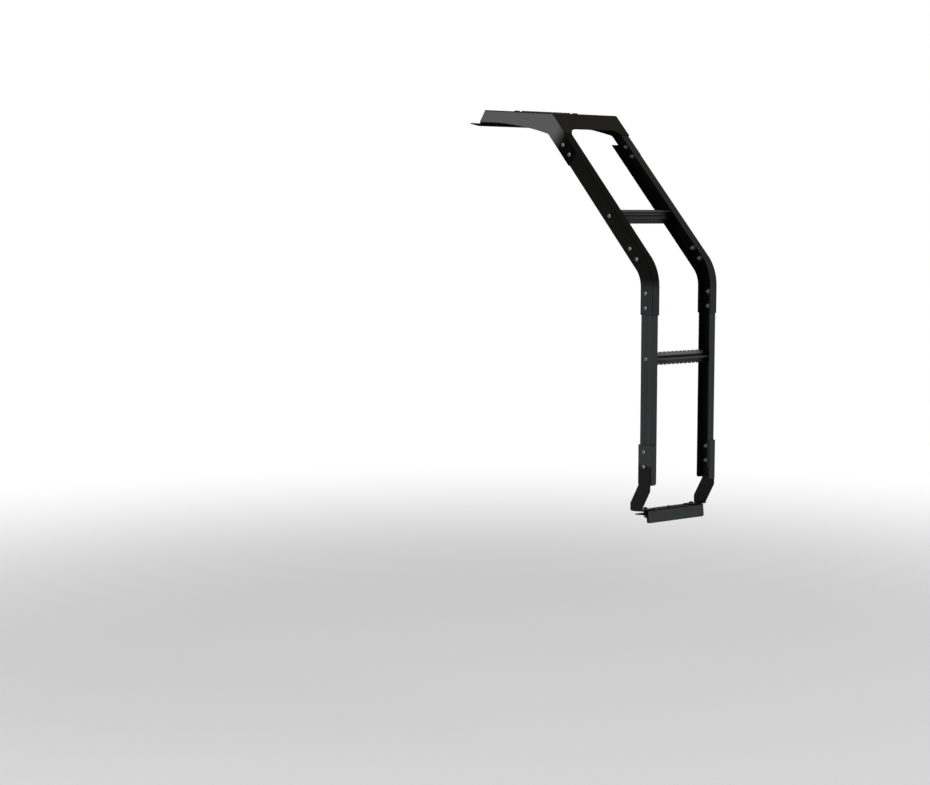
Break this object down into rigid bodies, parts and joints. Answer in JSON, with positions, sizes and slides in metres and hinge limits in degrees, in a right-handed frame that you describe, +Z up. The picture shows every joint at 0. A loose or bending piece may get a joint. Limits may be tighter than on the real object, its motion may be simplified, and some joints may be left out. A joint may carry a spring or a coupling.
{
  "type": "vehicle ladder",
  "caption": "Rear vehicle ladder: channel stiles bent at a knee, serrated rungs, a folded hood that rests on the roof edge and a step that hooks under the tailgate.",
  "frame": {"origin": "middle of the roof foot's flat underside, in the ladder's middle plane", "axes": "+Z up, +Y forward over the vehicle's roof, X across the ladder with +X to the right seen from behind the vehicle"},
  "size_m": [0.228, 0.8056, 1.0968],
  "materials": {
    "stile": "black powder coat, satin, fine texture",
    "bracket": "black powder coat, satin, fine texture",
    "rung": "black anodised, semi-matt",
    "hood": "black powder coat, satin, fine texture",
    "foot": "black powder coat, matt",
    "step": "black powder coat, satin, fine texture"
  },
  "bodies": {
    "root": {"upper_stile_left": "stile", "upper_stile_right": "stile", "lower_stile_left": "stile", "lower_stile_right": "stile", "knee_joiner_left": "bracket", "knee_joiner_right": "bracket", "upper_rung": "rung", "lower_rung": "rung", "hood_side_left": "hood", "hood_side_right": "hood", "hood_fascia": "hood", "top_tread": "hood", "hood_front": "hood", "roof_foot": "foot", "foot_cheek_left": "foot", "foot_cheek_right": "foot", "leg_bracket_left": "bracket", "leg_bracket_right": "bracket", "bottom_step": "step", "hook_plate": "foot"}
  },
  "joints": []
}
